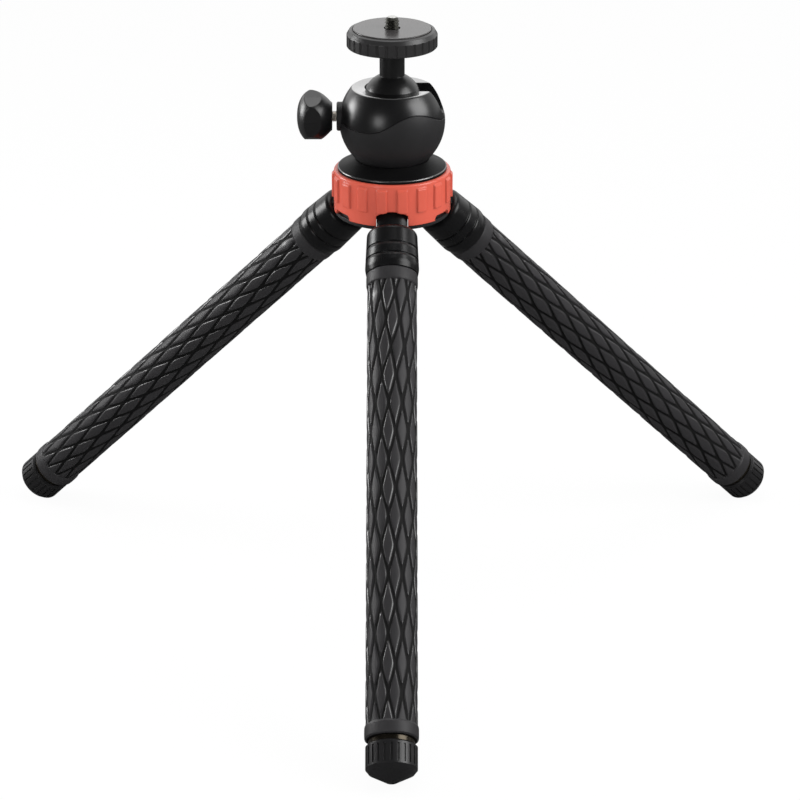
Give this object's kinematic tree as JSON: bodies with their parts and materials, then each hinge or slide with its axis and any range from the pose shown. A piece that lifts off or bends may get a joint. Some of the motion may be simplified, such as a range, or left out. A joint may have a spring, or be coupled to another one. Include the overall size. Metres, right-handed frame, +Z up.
{
  "type": "camera tripod",
  "caption": "Mini camera tripod with bendable rubber-covered legs, a collared hub and a ball head with a locking knob and a knurled screw platform.",
  "frame": {"origin": "centre of the camera seat, where the camera screw comes out of the pad", "axes": "+Z up along the camera screw; the front leg points along -Y; the locking knob is on the -X side and the portrait notch on the +X side"},
  "size_m": [0.369, 0.3228, 0.2744],
  "materials": {
    "steel": "turned steel",
    "dark_steel": "blackened steel",
    "aluminium": "plain",
    "black_metal": "black anodised",
    "black_gloss": "gloss moulded",
    "black_matte": "satin moulded",
    "orange": "satin, orange red",
    "rubber": "moulded matt rubber",
    "foam": "closed-cell foam",
    "brass": "plain",
    "nylon": "natural nylon"
  },
  "bodies": {
    "hub": {"base_flange": "black_matte", "base_screw": "steel", "collar_ring": "orange", "hub_body": "black_matte", "hub_cover": "black_matte", "hub_screws": "steel", "hinge_pins": "steel", "friction_washers": "steel"},
    "head": {"housing_upper": "black_gloss", "housing_lower": "black_matte", "ball_cup": "nylon", "cup_spring": "steel", "base_plug": "aluminium", "base_insert": "brass", "lock_collar": "black_matte", "lock_nut": "brass"},
    "ball": {"ball_stem": "black_metal"},
    "platform": {"camera_screw": "dark_steel", "screw_clip": "steel", "platform_disc": "black_metal", "platform_pad": "rubber"},
    "lock_pad": {"lock_pad": "nylon"},
    "lock_knob": {"lock_knob": "black_gloss", "lock_screw": "steel"},
    "leg_front": {"leg_front_cap": "black_gloss", "leg_front_core": "aluminium", "leg_front_filler": "foam", "leg_front_sleeve": "rubber", "leg_front_end_plug": "black_gloss", "leg_front_foot": "rubber"},
    "leg_right": {"leg_right_cap": "black_gloss", "leg_right_core": "aluminium", "leg_right_filler": "foam", "leg_right_sleeve": "rubber", "leg_right_end_plug": "black_gloss", "leg_right_foot": "rubber"},
    "leg_left": {"leg_left_cap": "black_gloss", "leg_left_core": "aluminium", "leg_left_filler": "foam", "leg_left_sleeve": "rubber", "leg_left_end_plug": "black_gloss", "leg_left_foot": "rubber"}
  },
  "joints": [
    {"name": "leg_front_splay", "type": "hinge", "parent": "hub", "child": "leg_front", "pos_m": [0, -0.015, -0.0796], "axis": [-1, 0, 0], "range_deg": [-46, 0]},
    {"name": "leg_right_splay", "type": "hinge", "parent": "hub", "child": "leg_right", "pos_m": [0.01299, 0.0075, -0.0796], "axis": [0.5, -0.866, 0], "range_deg": [-46, 0]},
    {"name": "leg_left_splay", "type": "hinge", "parent": "hub", "child": "leg_left", "pos_m": [-0.01299, 0.0075, -0.0796], "axis": [0.5, 0.866, 0], "range_deg": [-46, 0]},
    {"name": "head_pan", "type": "hinge", "parent": "hub", "child": "head", "pos_m": [0, 0, -0.05985], "axis": [0, 0, 1], "continuous": true},
    {"name": "ball_tilt", "type": "hinge", "parent": "head", "child": "ball", "pos_m": [0, 0, -0.03374], "axis": [0, 1, 0], "range_deg": [-35, 90]},
    {"name": "platform_turn", "type": "hinge", "parent": "ball", "child": "platform", "pos_m": [0, 0, 0], "axis": [0, 0, 1], "continuous": true},
    {"name": "lock_pad_slide", "type": "slide", "parent": "head", "child": "lock_pad", "axis": [-1, 0, 0], "range_m": [0, 0.0012]},
    {"name": "lock_knob_turn", "type": "hinge", "parent": "lock_pad", "child": "lock_knob", "pos_m": [-0.0268, 0, -0.04084], "axis": [-1, 0, 0], "range_deg": [0, 540]}
  ],
  "couplings": [
    {"joint": "lock_pad_slide", "follows": "lock_knob_turn", "m_per_rad": 0.00012732}
  ]
}
